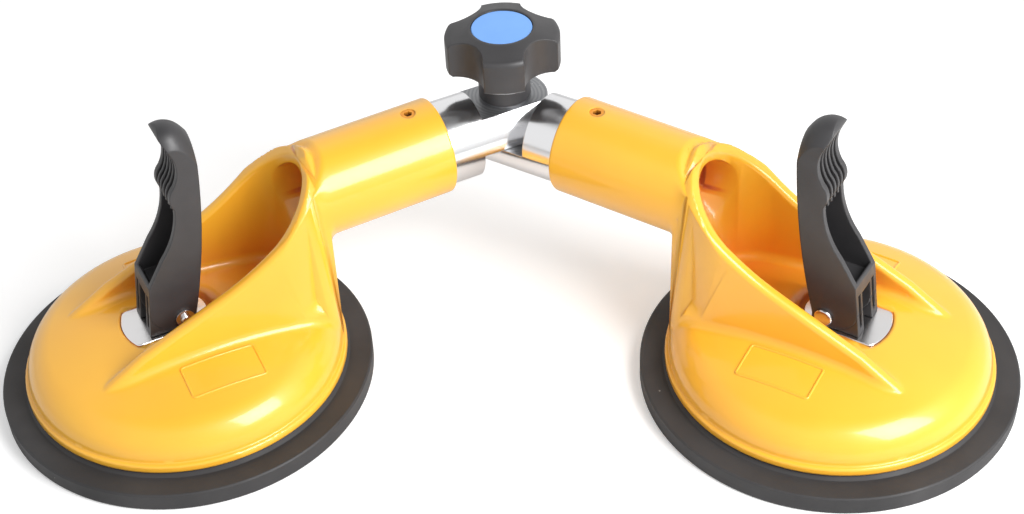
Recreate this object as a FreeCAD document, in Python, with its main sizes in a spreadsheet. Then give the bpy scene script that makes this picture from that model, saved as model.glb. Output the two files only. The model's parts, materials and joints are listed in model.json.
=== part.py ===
"""Tile suction lifter: two vacuum cups on a pair of arms joined by a locking knob.

Each cup ("head") is modelled in its own frame: the origin is the centre of the
rubber pad on the floor, +X points along the arm towards the joint, +Z is up.
The two equal heads are then placed either side of the row's YZ plane, and the
joint's parts stand on the hinge axis between them.
"""

import FreeCAD
import Part
import math
import os
import re
import Sketcher

os.makedirs("parts", exist_ok=True)
doc = FreeCAD.newDocument("tile_suction_lifter")

# ---------------------------------------------------------------- driving sizes

SIZES = {
    # layout of the two arms
    "arm_length": 119.4,
    "half_angle": 60.7,
    "tube_height": 59.4,
    # rubber pad
    "pad_radius": 60.4,
    "pad_edge": 6.5,
    "seat_radius": 50.6,
    "seat_height": 8.3,
    "well_radius": 18.0,
    "well_floor": 3.2,
    "pad_relief": 1.2,
    "lip_width": 9.0,
    # cast housing: dome
    "rim_radius": 52.4,
    "lip_top": 10.8,
    "dome_radius": 51.2,
    "shoulder_radius": 12.0,
    "crown_angle": 15.0,
    "shell_wall": 3.6,
    # cast housing: hood and tube
    "hood_half": 21.2,
    "hood_wall": 4.4,
    "hood_corner": 6.0,
    "hood_back": 51.6,
    "hood_front": -33.0,
    "scoop_centre": 29.5,
    "hood_top": 76.4,
    "hood_crown": 16.5,
    "rim_foot": 22.4,
    "rim_low": -18.0,
    "rim_low_height": 31.9,
    "rim_start": 10.0,
    "rim_start_height": 43.7,
    "rim_curve": 88.0,
    "rim_end": 48.1,
    "rim_end_height": 74.55,
    "rim_cap": 4.2,
    "rim_round": 1.8,
    "root_round": 2.5,
    "foot_round": 3.0,
    "tube_radius": 16.0,
    "tube_gap": 25.5,
    "port_radius": 12.4,
    "port_height": 56.6,
    "screw_place": 84.8,
    "screw_radius": 2.4,
    "screw_length": 3.5,
    "socket_flats": 2.5,
    # steel plate under the lever
    "plate_half": 9.0,
    "plate_reach": 18.7,
    "plate_top": 27.2,
    "plate_thick": 1.5,
    "pocket_radius": 10.8,
    "pocket_gap": 0.3,
    # pull stud and the disc that holds it in the rubber
    "stud_half": 3.1,
    "stud_thick": 5.6,
    "tenon_radius": 2.6,
    "disc_radius": 16.0,
    "disc_thick": 2.5,
    # lever and its pin
    "pin_height": 31.1,
    "pin_radius": 1.6,
    "pin_head_radius": 3.0,
    "pin_head": 1.5,
    "pin_tail": 1.3,
    "pin_washer": 0.8,
    "lever_half": 7.5,
    "lever_back": 4.0,
    "lever_front": 11.8,
    "lever_lean": 8.0,
    "finger_slot": 1.5,
    "finger_pitch": 2.4,
    "tip_radius": 3.6,
    "crown_top": 68.6,
    "crown_place": 5.9,
    "crown_ball": 7.4,
    "crown_taper": 26.5,
    "crown_drop": 20.0,
    "crown_spread": 10.8,
    "lever_foot": 3.7,
    "cam_radius": 8.0,
    "lever_side": 1.8,
    # bar stubs and the half-lap joint
    "stub_radius": 14.0,
    "stub_depth": 34.0,
    "lap_shoulder": 14.6,
    "lap_gap": 0.2,
    "spot_height": 70.2,
    "spot_reach": 12.7,
    "clamp_hole": 4.08,
    # knob
    "knob_top": 96.5,
    "knob_reach": 18.6,
    "knob_lobe": 11.7,
    "knob_crown": 2.3,
    "knob_turned": 4.0,
    "valley_place": 22.7,
    "valley_radius": 9.7,
    "hub_radius": 8.5,
    "cap_radius": 10.0,
    "thread_radius": 4.0,
    "washer_thick": 1.0,
}
RUNNING_GAP = 0.05

sheet = doc.addObject("Spreadsheet::Sheet", "Sizes")
for row, (alias, value) in enumerate(SIZES.items(), start=1):
    sheet.set(f"A{row}", alias)
    sheet.set(f"B{row}", str(value))
    sheet.setAlias(f"B{row}", alias)
doc.recompute()


# ---------------------------------------------------------------- shared helpers

def bound(expression):
    """An expression in the sheet's aliases, with each alias tied to the sheet."""
    return re.sub(r"[a-z]\w*", lambda word: f"Sizes.{word[0]}" if word[0] in SIZES else word[0],
                  str(expression))


def size(expression):
    """The value of an expression written in the sheet's aliases."""
    result = sheet.evalExpression(bound(expression))
    return float(getattr(result, "Value", result))


def make_body(label):
    """An empty PartDesign body with a label of its own."""
    body = doc.addObject("PartDesign::Body", label)
    body.Label = label
    return body


def new_sketch(body, name, plane, offset=None):
    """A sketch on one of the body's own origin planes, shifted along its normal."""
    sketch = body.newObject("Sketcher::SketchObject", name)
    support = next(item for item in body.Origin.OriginFeatures if item.Role == plane)
    sketch.AttachmentSupport = [(support, "")]
    sketch.MapMode = "FlatFace"
    if offset is not None:
        sketch.setExpression("AttachmentOffset.Base.z", bound(offset))
    return sketch


def pin_point(sketch, geometry, end, across, up):
    """Hold one end of a sketch line at bound distances from the sketch's origin."""
    for kind, expression, axis in (("DistanceX", across, -2), ("DistanceY", up, -1)):
        if abs(size(expression)) < 1e-9:
            sketch.addConstraint(Sketcher.Constraint("PointOnObject", geometry, end, axis))
            continue
        index = sketch.addConstraint(
            Sketcher.Constraint(kind, -1, 1, geometry, end, size(expression)))
        sketch.setExpression(f"Constraints[{index}]", bound(expression))


def draw_outline(body, name, plane, points, offset=None):
    """A closed outline. Each point is (across, up) and starts a straight run, or
    (across, up, radius), which starts an arc: a positive radius turns left."""
    sketch = new_sketch(body, name, plane, offset)
    places = [FreeCAD.Vector(size(point[0]), size(point[1]), 0) for point in points]
    ends = []
    for index, point in enumerate(points):
        start = places[index]
        stop = places[(index + 1) % len(points)]
        if len(point) == 2:
            geometry = sketch.addGeometry(Part.LineSegment(start, stop), False)
            ends.append((geometry, 1, 2))
            continue
        radius = size(point[2])
        chord = stop - start
        lift = math.sqrt(max(radius ** 2 - (chord.Length / 2) ** 2, 0))
        side = FreeCAD.Vector(-chord.y, chord.x, 0).normalize() * math.copysign(lift, radius)
        centre = (start + stop) * 0.5 + side
        first, last = (start, stop) if radius > 0 else (stop, start)
        circle = Part.Circle(centre, FreeCAD.Vector(0, 0, 1), abs(radius))
        arc = Part.ArcOfCircle(circle, math.atan2(first.y - centre.y, first.x - centre.x),
                               math.atan2(last.y - centre.y, last.x - centre.x))
        geometry = sketch.addGeometry(arc, False)
        ends.append((geometry, 1, 2) if radius > 0 else (geometry, 2, 1))
    for index, (geometry, start, stop) in enumerate(ends):
        following = ends[(index + 1) % len(ends)]
        sketch.addConstraint(
            Sketcher.Constraint("Coincident", geometry, stop, following[0], following[1]))
        pin_point(sketch, geometry, start, points[index][0], points[index][1])
    for (geometry, start, stop), point in zip(ends, points):
        if len(point) == 3:
            index = sketch.addConstraint(
                Sketcher.Constraint("Radius", geometry, abs(size(point[2]))))
            sketch.setExpression(f"Constraints[{index}]", bound(f"abs({point[2]})"))
    return sketch


def draw_circle(body, name, plane, radius, across="0", up="0", offset=None):
    """A circle of bound radius about a bound centre."""
    sketch = new_sketch(body, name, plane, offset)
    centre = FreeCAD.Vector(size(across), size(up), 0)
    geometry = sketch.addGeometry(
        Part.Circle(centre, FreeCAD.Vector(0, 0, 1), size(radius)), False)
    pin_point(sketch, geometry, 3, across, up)
    index = sketch.addConstraint(Sketcher.Constraint("Radius", geometry, size(radius)))
    sketch.setExpression(f"Constraints[{index}]", bound(radius))
    return sketch


def extrude(body, kind, name, sketch, length, side="One side", reverse=False):
    """A Pad or Pocket of bound length."""
    feature = body.newObject(f"PartDesign::{kind}", name)
    feature.Profile = sketch
    feature.SideType = side
    feature.Reversed = reverse
    feature.setExpression("Length", bound(length))
    sketch.Visibility = False
    return feature


def pad(body, name, sketch, length, side="One side", reverse=False):
    return extrude(body, "Pad", name, sketch, length, side, reverse)


def pocket(body, name, sketch, length, side="One side", reverse=False):
    """A Pocket that must take material away."""
    doc.recompute()
    before = body.Shape.Volume
    feature = extrude(body, "Pocket", name, sketch, length, side, reverse)
    doc.recompute()
    if not body.Shape.Volume < before - 1e-3:
        raise RuntimeError(f"{body.Label}: {name} cuts nothing")
    return feature


def spin(body, kind, name, sketch):
    """A full Revolution or Groove about the sketch's vertical axis."""
    feature = body.newObject(f"PartDesign::{kind}", name)
    feature.Profile = sketch
    feature.ReferenceAxis = (sketch, ["V_Axis"])
    feature.Angle = 360.0
    sketch.Visibility = False
    return feature


def dress(body, kind, name, radius, chosen):
    """A Fillet or Chamfer on the edges of the tip that the test chooses."""
    doc.recompute()
    base = body.Tip
    edges = [f"Edge{number}" for number, edge in enumerate(base.Shape.Edges, start=1)
             if chosen(edge)]
    if not edges:
        raise RuntimeError(f"{body.Label}: {name} finds no edge")
    feature = body.newObject(f"PartDesign::{kind}", name)
    feature.Base = (base, edges)
    if kind == "Fillet":
        feature.Radius = radius
    else:
        feature.Size = radius
    return feature


def circle_at(radius, height):
    """A test for a whole circle of a given radius at a given height."""
    def chosen(edge):
        curve = edge.Curve
        return (isinstance(curve, Part.Circle) and abs(curve.Radius - size(radius)) < 0.02
                and abs(curve.Center.z - size(height)) < 0.02)
    return chosen


def middle(edge):
    """The point halfway along an edge's parameter range."""
    return edge.valueAt((edge.FirstParameter + edge.LastParameter) / 2)


def on_rim(edge):
    """A test for the two long edges of the hood's rim: they slope, they are neither
    at its foot nor upright, and they are not on the hood's round back."""
    ends = [edge.valueAt(edge.FirstParameter), middle(edge), edge.valueAt(edge.LastParameter)]
    slope = max(point.z for point in ends) - min(point.z for point in ends)
    upright = all(math.hypot(point.x - ends[0].x, point.y - ends[0].y) < 0.01 for point in ends)
    if slope < 0.01 or upright or min(point.z for point in ends) < size("lip_top + 2"):
        return False
    if math.hypot(ends[1].x, ends[1].y) > size("hood_back - 0.3"):
        return False
    return not (ends[1].x > size("rim_end - 3") and ends[1].z < size("rim_end_height - 3"))


def on_tube_end(edge):
    """A test for the outer edge of the tube's open end."""
    point = middle(edge)
    return (abs(point.x - size("arm_length - tube_gap")) < 0.01 and edge.Closed
            and abs(edge.Length - 2 * math.pi * size("tube_radius")) < 0.1)


# ---------------------------------------------------------------- parts of one head

def make_rubber_pad(label):
    """Soft disc with a flat sealing lip, a hollow underside, a raised seat for the
    casting's rim and a well in which the stud's disc travels."""
    body = make_body(label)
    outline = draw_outline(body, f"{label}_section", "XZ_Plane", [
        ("0", "pad_relief"),
        ("pad_radius - lip_width - 8", "pad_relief"),
        ("pad_radius - lip_width", "0"),
        ("pad_radius - 0.5", "0"),
        ("pad_radius", "0.8"),
        ("pad_radius", "pad_edge - 0.5"),
        ("pad_radius - 0.5", "pad_edge"),
        ("seat_radius + 2.4", "pad_edge"),
        ("seat_radius", "seat_height"),
        ("well_radius", "seat_height"),
        ("well_radius", "well_floor"),
        ("0", "well_floor"),
    ])
    spin(body, "Revolution", f"{label}_disc", outline)
    return body


def make_anchor_disc(label):
    """Steel disc in the middle of the rubber, with a hole for the stud's tenon."""
    body = make_body(label)
    blank = draw_circle(body, f"{label}_blank", "XY_Plane", "disc_radius",
                        offset="well_floor + 0.1")
    pad(body, f"{label}_plate", blank, "disc_thick")
    hole = draw_circle(body, f"{label}_hole", "XY_Plane", "tenon_radius",
                       offset="well_floor + 0.1 + disc_thick")
    pocket(body, f"{label}_bore", hole, "disc_thick")
    dress(body, "Fillet", f"{label}_edge", 0.6,
          circle_at("disc_radius", "well_floor + 0.1 + disc_thick"))
    return body


def make_pull_stud(label):
    """Flat pull stud: a tenon riveted in the disc, a blade and an eye for the pin."""
    body = make_body(label)
    blade = draw_outline(body, f"{label}_side", "XZ_Plane", [
        ("-stud_half", "well_floor + 0.1 + disc_thick"),
        ("stud_half", "well_floor + 0.1 + disc_thick"),
        ("stud_half", "pin_height", "stud_half"),
        ("0", "pin_height + stud_half", "stud_half"),
        ("-stud_half", "pin_height"),
    ])
    pad(body, f"{label}_blade", blade, "stud_thick", side="Symmetric")
    tenon = draw_circle(body, f"{label}_tenon", "XY_Plane", "tenon_radius",
                        offset="well_floor + 0.1")
    pad(body, f"{label}_foot", tenon, "disc_thick + 1")
    eye = draw_circle(body, f"{label}_hole", "XZ_Plane", f"pin_radius + {RUNNING_GAP}",
                      up="pin_height")
    pocket(body, f"{label}_eye", eye, "stud_thick + 2", side="Symmetric")
    return body


# where the dome's shoulder passes into its crown, and the crown's radius and top
CROWN_X = "dome_radius - shoulder_radius * (1 - sin(crown_angle * 1deg))"
CROWN_Z = "lip_top + shoulder_radius * cos(crown_angle * 1deg)"
CROWN_R = f"({CROWN_X}) / sin(crown_angle * 1deg)"
CROWN_TOP = f"{CROWN_Z} + {CROWN_R} * (1 - cos(crown_angle * 1deg))"


def draw_plate(body, name, gap, height):
    """The steel plate's outline: a disc clipped by two parallel sides, with a
    smaller round end towards the hood. The gap widens it into its pocket."""
    half = f"(plate_half + {gap})"
    reach = f"(plate_reach + {gap})"
    corner = f"sqrt({reach}^2 - {half}^2)"
    return draw_outline(body, name, "XY_Plane", [
        (f"-{corner}", f"-{half}"),
        ("0", f"-{half}", half),
        (half, "0", half),
        ("0", half),
        (f"-{corner}", half, reach),
    ], offset=height)


def draw_stud_hole(body, name, height):
    """A square-cornered slot that guides the stud's blade."""
    across = "(stud_half + 0.3)"
    deep = "(stud_thick / 2 + 0.3)"
    return draw_outline(body, name, "XY_Plane", [
        (f"-{across}", f"-{deep}"),
        (across, f"-{deep}"),
        (across, deep),
        (f"-{across}", deep),
    ], offset=height)


def on_tube_root(edge):
    """A test for the edges where the tube leaves the hood's round back."""
    point = middle(edge)
    from_axis = math.hypot(point.y, point.z - size("tube_height"))
    return (abs(from_axis - size("tube_radius")) < 0.02
            and abs(math.hypot(point.x, point.y) - size("hood_back")) < 0.02)


def on_hood_foot(edge):
    """A test for the edges where the hood's walls stand on the dome's crown."""
    centre = FreeCAD.Vector(0, 0, size(f"{CROWN_TOP} - {CROWN_R}"))
    ends = [edge.valueAt(edge.FirstParameter), middle(edge), edge.valueAt(edge.LastParameter)]
    return all(abs(point.distanceToPoint(centre) - size(CROWN_R)) < 0.02 for point in ends)


def make_housing(label):
    """Painted casting: a dome over the pad, a U-shaped hood with an open scoop that
    climbs from the dome to the arm, and the tube that takes the bar stub."""
    body = make_body(label)

    # the wall of the hood: two straight sides and a back that follows the rim
    corner_x = "sqrt((hood_back - hood_corner)^2 - (hood_half - hood_corner)^2)"
    back_x = f"({corner_x}) * hood_back / (hood_back - hood_corner)"
    back_y = "(hood_half - hood_corner) * hood_back / (hood_back - hood_corner)"
    inner = "(hood_half - hood_wall)"
    wall = draw_outline(body, f"{label}_hood_plan", "XY_Plane", [
        ("hood_front", "-hood_half"),
        (corner_x, "-hood_half", "hood_corner"),
        (back_x, f"-{back_y}", "hood_back"),
        (back_x, back_y, "hood_corner"),
        (corner_x, "hood_half"),
        ("hood_front", "hood_half"),
        ("hood_front", inner),
        ("scoop_centre", inner, f"-{inner}"),
        (f"scoop_centre + {inner}", "0", f"-{inner}"),
        ("scoop_centre", f"-{inner}"),
        ("hood_front", f"-{inner}"),
    ], offset="lip_top + 1")
    pad(body, f"{label}_hood", wall, "hood_top - lip_top - 1")

    # its rim falls from the arm in a long curve, and its edges are rounded over
    above = draw_outline(body, f"{label}_rim_side", "XZ_Plane", [
        ("hood_front - 1", "rim_foot"),
        ("rim_low", "rim_low_height"),
        ("rim_start", "rim_start_height", "rim_curve"),
        ("rim_end", "rim_end_height", "-rim_cap"),
        ("rim_end + 3.6", "hood_top"),
        ("rim_end + 3.6", "hood_top + 5"),
        ("hood_front - 1", "hood_top + 5"),
    ])
    pocket(body, f"{label}_rim_cut", above, "3 * hood_half", side="Symmetric")
    for side in ("-", ""):
        corner = draw_outline(body, f"{label}_hood_corner{len(side)}", "YZ_Plane", [
            (f"{side}hood_half", "hood_top - hood_crown", f"{side}hood_crown"),
            (f"{side}(hood_half - hood_crown)", "hood_top"),
            (f"{side}(hood_half - hood_crown)", "hood_top + 2"),
            (f"{side}(hood_half + 2)", "hood_top + 2"),
            (f"{side}(hood_half + 2)", "hood_top - hood_crown"),
        ], offset="hood_back + 1")
        pocket(body, f"{label}_hood_arch{len(side)}", corner, "hood_back + 1")
    dress(body, "Fillet", f"{label}_rim_round", size("rim_round"), on_rim)

    outline = draw_outline(body, f"{label}_dome_section", "XZ_Plane", [
        ("0", "seat_height"),
        ("rim_radius", "seat_height"),
        ("rim_radius", "lip_top - 0.9", "0.9"),
        ("rim_radius - 0.9", "lip_top"),
        ("dome_radius", "lip_top", "shoulder_radius"),
        (CROWN_X, CROWN_Z, CROWN_R),
        ("0", CROWN_TOP),
    ])
    spin(body, "Revolution", f"{label}_dome", outline)

    # the tube, its bore for the bar stub and the cored port into the scoop
    tube = draw_circle(body, f"{label}_tube_end", "YZ_Plane", "tube_radius",
                       up="tube_height", offset="arm_length - tube_gap")
    pad(body, f"{label}_tube", tube, "arm_length - tube_gap - hood_back + 2.8", reverse=True)
    dress(body, "Fillet", f"{label}_tube_root", size("root_round"), on_tube_root)
    dress(body, "Fillet", f"{label}_hood_foot", size("foot_round"), on_hood_foot)
    dress(body, "Fillet", f"{label}_tube_lip", 0.8, on_tube_end)
    bore = draw_circle(body, f"{label}_bore_end", "YZ_Plane", "stub_radius",
                       up="tube_height", offset="arm_length - tube_gap")
    pocket(body, f"{label}_bore", bore, "stub_depth + 8")
    port = draw_circle(body, f"{label}_port_end", "YZ_Plane", "port_radius",
                       up="port_height", offset="hood_back + 1")
    pocket(body, f"{label}_port", port, "15")

    # the hollow over the rubber
    hollow = draw_outline(body, f"{label}_hollow_section", "XZ_Plane", [
        ("0", "seat_height - 1"),
        ("seat_radius - 1.5", "seat_height - 1"),
        ("seat_radius - 1.5", "lip_top", "shoulder_radius - shell_wall"),
        ("seat_radius - 1.5 - shoulder_radius + shell_wall",
         "lip_top + shoulder_radius - shell_wall"),
        ("disc_radius + 4", "lip_top + shoulder_radius - shell_wall + 2.5"),
        ("0", "lip_top + shoulder_radius - shell_wall + 2.5"),
    ])
    spin(body, "Groove", f"{label}_hollow", hollow)

    # the pocket for the steel plate, and the slot for the stud
    seat = draw_plate(body, f"{label}_plate_pocket_plan", "pocket_gap", "hood_top")
    pocket(body, f"{label}_plate_pocket", seat, "hood_top - plate_top + plate_thick")
    ring = draw_circle(body, f"{label}_round_pocket_plan", "XY_Plane", "pocket_radius",
                       offset="hood_top")
    pocket(body, f"{label}_round_pocket", ring, "hood_top - plate_top + plate_thick")
    slot = draw_stud_hole(body, f"{label}_stud_slot_plan", "hood_top")
    pocket(body, f"{label}_stud_slot", slot, "hood_top - lip_top")

    # the tapped hole on top of the tube
    tapped = draw_circle(body, f"{label}_screw_plan", "XY_Plane", "screw_radius",
                         across="screw_place", offset="hood_top")
    pocket(body, f"{label}_screw_hole", tapped, "hood_top - tube_height")
    return body


def make_wear_plate(label):
    """Polished steel plate that the lever's foot bears on."""
    body = make_body(label)
    plan = draw_plate(body, f"{label}_plan", "0", "plate_top")
    pad(body, f"{label}_sheet", plan, "plate_thick", reverse=True)
    slot = draw_stud_hole(body, f"{label}_slot_plan", "plate_top")
    pocket(body, f"{label}_slot", slot, "plate_thick")
    dress(body, "Fillet", f"{label}_corners", 2.2,
          lambda edge: middle(edge).x < -12 and abs(edge.tangentAt(edge.FirstParameter).z) > 0.99)
    dress(body, "Chamfer", f"{label}_top_edge", 0.3,
          lambda edge: on_plate_rim(edge) and abs(middle(edge).z - size("plate_top")) < 0.01)
    return body


def on_plate_rim(edge):
    """A test for the edges round the outside of the steel plate."""
    point = middle(edge)
    return max(abs(point.x), abs(point.y)) > size("plate_half - 2.7")


def make_lever(label):
    """Moulded cam lever, standing up when it is released. Its front is an open
    channel with finger ribs; its foot is a fork that straddles the stud."""
    body = make_body(label)
    foot = "pin_height - lever_foot"
    # the foot's corner is the cam: it rolls on the plate as the lever folds
    roll = "cam_radius * tan(45deg + lever_lean * 0.5deg)"
    outline = draw_outline(body, f"{label}_side", "XZ_Plane", [
        ("lever_back", foot),
        ("lever_back", "pin_height", "260"),
        ("crown_place + 7.5", "pin_height + crown_top - 7.5"),
        ("crown_place + 7.5", "pin_height + crown_top + 1"),
        ("lever_back + 3.2", "pin_height + crown_top + 1", "tip_radius"),
        ("lever_back + 3.2 - tip_radius", "pin_height + crown_top + 1 - tip_radius"),
        ("lever_back + 1.6", "pin_height + 61.3", "-12.5"),
        ("lever_back + 0.6", "pin_height + 49.5", "6.5"),
        ("lever_back - 0.4", "pin_height + 41.5", "-30"),
        ("-3.4", "pin_height + 24"),
        ("18.5 * tan(lever_lean * 1deg) - lever_front", f"{foot} + 18.5"),
        (f"{roll} * sin(lever_lean * 1deg) - lever_front",
         f"{foot} + {roll} * cos(lever_lean * 1deg)", "cam_radius"),
        (f"{roll} - lever_front", foot),
    ])
    pad(body, f"{label}_blank", outline, "2 * lever_half", side="Symmetric")
    # the crown is turned: a ball end that widens downwards into the lever's corners
    top = "pin_height + crown_top"
    crown = draw_outline(body, f"{label}_crown_section", "XZ_Plane", [
        ("crown_place", f"{top} + 2"),
        ("crown_place", top, "-crown_ball"),
        ("crown_place + crown_ball * cos(35deg)", f"{top} - crown_ball * (1 - sin(35deg))",
         "-crown_taper"),
        ("crown_place + crown_spread", f"{top} - crown_drop"),
        ("crown_place + crown_spread + 6", f"{top} - crown_drop"),
        ("crown_place + crown_spread + 6", f"{top} + 2"),
    ])
    ball = body.newObject("PartDesign::Groove", f"{label}_crown")
    ball.Profile = crown
    ball.ReferenceAxis = (crown, ["Edge1"])
    ball.Angle = 360.0
    crown.Visibility = False
    doc.recompute()

    channel = draw_outline(body, f"{label}_channel_side", "XZ_Plane", [
        ("2 - lever_front", "pin_height + 15.6"),
        ("3.7 - lever_front", "pin_height + 15.6"),
        ("4.6 - lever_front", "pin_height + 12.8"),
        ("lever_back + 0.4", "pin_height + 12.8"),
        ("lever_back + 4.2", "pin_height + 31"),
        ("lever_back + 4.9", "pin_height + 37"),
        ("lever_back - 0.2", "pin_height + 40"),
        ("-lever_front - 2", "pin_height + 40"),
        ("-lever_front - 2", "pin_height + 22"),
    ])
    pocket(body, f"{label}_channel", channel, "2 * (lever_half - lever_side)", side="Symmetric")

    finger = draw_outline(body, f"{label}_finger_side", "XZ_Plane", [
        ("-lever_front", "pin_height + 39"),
        ("lever_back + 4.5", "pin_height + 36"),
        ("lever_back + 3.6", "pin_height + 45"),
        ("lever_back + 6", "pin_height + 54"),
        ("lever_back + 6", "pin_height + 60.8"),
        ("lever_back + 4.6", "pin_height + 62.4"),
        ("lever_back + 2.4", "pin_height + 62.8"),
        ("-lever_front", "pin_height + 62.8"),
    ], offset="-2 * finger_pitch")
    pocket(body, f"{label}_finger_slot", finger, "finger_slot", side="Symmetric")
    slot = body.Tip
    ribs = body.newObject("PartDesign::LinearPattern", f"{label}_finger_slots")
    ribs.Originals = [slot]
    ribs.Direction = (finger, ["N_Axis"])
    ribs.setExpression("Length", bound("4 * finger_pitch"))
    ribs.Occurrences = 5
    body.Tip = ribs

    fork = draw_outline(body, f"{label}_fork_side", "XZ_Plane", [
        ("-lever_front - 2", f"{foot} - 1"),
        ("lever_back + 2", f"{foot} - 1"),
        ("lever_back + 2", "pin_height + stud_half + 0.4"),
        ("-2", "pin_height + stud_half + 0.4"),
        ("-5", "pin_height + 10.6"),
        ("-lever_front - 2", "pin_height + 10.6"),
    ])
    pocket(body, f"{label}_fork", fork, "stud_thick + 0.6", side="Symmetric")
    for side in ("-", ""):
        window = draw_outline(body, f"{label}_window_side{len(side)}", "XZ_Plane", [
            ("-lever_front - 2", "pin_height - 1.4"),
            ("5.4 - lever_front", "pin_height - 1.4"),
            ("5.4 - lever_front", "pin_height + 11"),
            ("-lever_front - 2", "pin_height + 11"),
        ], offset=f"{side}(stud_thick / 2 + 2.2)")
        pocket(body, f"{label}_window{len(side)}", window, "1.7", side="Symmetric")
    hole = draw_circle(body, f"{label}_pin_side", "XZ_Plane", "pin_radius", up="pin_height")
    pocket(body, f"{label}_pin_hole", hole, "2 * lever_half + 2", side="Symmetric")
    return body


def make_lever_pin(label):
    """Lever pin: a low round head at one end and a riveted tail at the other."""
    body = make_body(label)
    end = "-(lever_half + pin_washer + pin_tail)"
    outline = draw_outline(body, f"{label}_section", "YZ_Plane", [
        (end, "pin_height"),
        ("lever_half + pin_head", "pin_height"),
        ("lever_half + pin_head", "pin_height + pin_head_radius - 0.9", "0.9"),
        ("lever_half + pin_head - 0.9", "pin_height + pin_head_radius"),
        ("lever_half", "pin_height + pin_head_radius"),
        ("lever_half", "pin_height + pin_radius"),
        (f"{end} + 0.4", "pin_height + pin_radius"),
        (end, "pin_height + pin_radius - 0.4"),
    ])
    feature = body.newObject("PartDesign::Revolution", f"{label}_turned")
    feature.Profile = outline
    feature.ReferenceAxis = (outline, ["Edge1"])
    feature.Angle = 360.0
    return body


def make_pin_washer(label):
    """Flat washer under the pin's riveted tail."""
    body = make_body(label)
    rim = draw_circle(body, f"{label}_rim", "XZ_Plane", "pin_head_radius", up="pin_height",
                      offset="lever_half")
    pad(body, f"{label}_disc", rim, "pin_washer")
    hole = draw_circle(body, f"{label}_hole", "XZ_Plane", "pin_radius", up="pin_height",
                       offset="lever_half + pin_washer")
    pocket(body, f"{label}_bore", hole, "pin_washer")
    return body


def make_set_screw(label):
    """Socket set screw that holds the bar stub in its tube."""
    body = make_body(label)
    top = "tube_height + tube_radius - 0.5"
    rim = draw_circle(body, f"{label}_rim", "XY_Plane", "screw_radius", across="screw_place",
                      offset=top)
    pad(body, f"{label}_shank", rim, "screw_length", reverse=True)
    flat = "socket_flats / 2"
    point = "socket_flats / sqrt(3)"
    socket = draw_outline(body, f"{label}_socket_plan", "XY_Plane", [
        (f"screw_place + {point}", "0"),
        (f"screw_place + {point} / 2", flat),
        (f"screw_place - {point} / 2", flat),
        (f"screw_place - {point}", "0"),
        (f"screw_place - {point} / 2", f"-{flat}"),
        (f"screw_place + {point} / 2", f"-{flat}"),
    ], offset=top)
    pocket(body, f"{label}_socket", socket, "2")
    return body


def make_stub(label, upper):
    """Aluminium bar stub with one half of the half-lap joint at its end: the upper
    lug carries the knob, the lower lug is tapped for the knob's stud."""
    body = make_body(label)
    bar = draw_circle(body, f"{label}_bar_end", "YZ_Plane", "stub_radius", up="tube_height",
                      offset="arm_length - tube_gap - stub_depth")
    pad(body, f"{label}_bar", bar, "tube_gap + stub_depth + stub_radius")
    nose = draw_outline(body, f"{label}_nose_plan", "XY_Plane", [
        ("arm_length", "-stub_radius", "stub_radius"),
        ("arm_length + stub_radius", "0", "stub_radius"),
        ("arm_length", "stub_radius"),
        ("arm_length", "stub_radius + 3"),
        ("arm_length + stub_radius + 3", "stub_radius + 3"),
        ("arm_length + stub_radius + 3", "-stub_radius - 3"),
        ("arm_length", "-stub_radius - 3"),
    ], offset="hood_top")
    pocket(body, f"{label}_nose", nose, "hood_top")
    lap = "tube_height + lap_gap / 2" if upper else "tube_height - lap_gap / 2"
    far = "tube_height - 2 * stub_radius" if upper else "tube_height + 2 * stub_radius"
    lug = draw_outline(body, f"{label}_lap_side", "XZ_Plane", [
        ("arm_length - lap_shoulder", far),
        ("arm_length + 2 * stub_radius", far),
        ("arm_length + 2 * stub_radius", lap),
        ("arm_length - lap_shoulder", lap),
    ])
    pocket(body, f"{label}_lap", lug, "3 * stub_radius", side="Symmetric")
    if upper:
        spot = draw_outline(body, f"{label}_spot_side", "XZ_Plane", [
            ("arm_length - spot_reach", "spot_height"),
            ("arm_length + 2 * stub_radius", "spot_height"),
            ("arm_length + 2 * stub_radius", "hood_top"),
            ("arm_length - spot_reach", "hood_top"),
        ])
        pocket(body, f"{label}_spot_face", spot, "3 * stub_radius", side="Symmetric")
    radius = "clamp_hole" if upper else f"thread_radius + {RUNNING_GAP}"
    hole = draw_circle(body, f"{label}_hole_plan", "XY_Plane", radius, across="arm_length",
                       offset="hood_top")
    pocket(body, f"{label}_hole", hole, "hood_top")
    dimple = draw_circle(body, f"{label}_dimple_plan", "XY_Plane", "screw_radius",
                         across="screw_place", offset="hood_top")
    pocket(body, f"{label}_dimple", dimple,
           "hood_top - tube_height - tube_radius + 0.5 + screw_length")
    return body


# ---------------------------------------------------------------- parts of the joint

def make_knob_washer(label):
    """Captive steel washer between the knob's hub and the milled face."""
    body = make_body(label)
    rim = draw_circle(body, f"{label}_rim", "XY_Plane", "hub_radius - 0.3",
                      offset="spot_height + 0.05")
    pad(body, f"{label}_disc", rim, "washer_thick")
    hole = draw_circle(body, f"{label}_hole", "XY_Plane", "clamp_hole",
                       offset="spot_height + 0.05 + washer_thick")
    pocket(body, f"{label}_bore", hole, "washer_thick")
    return body


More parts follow.
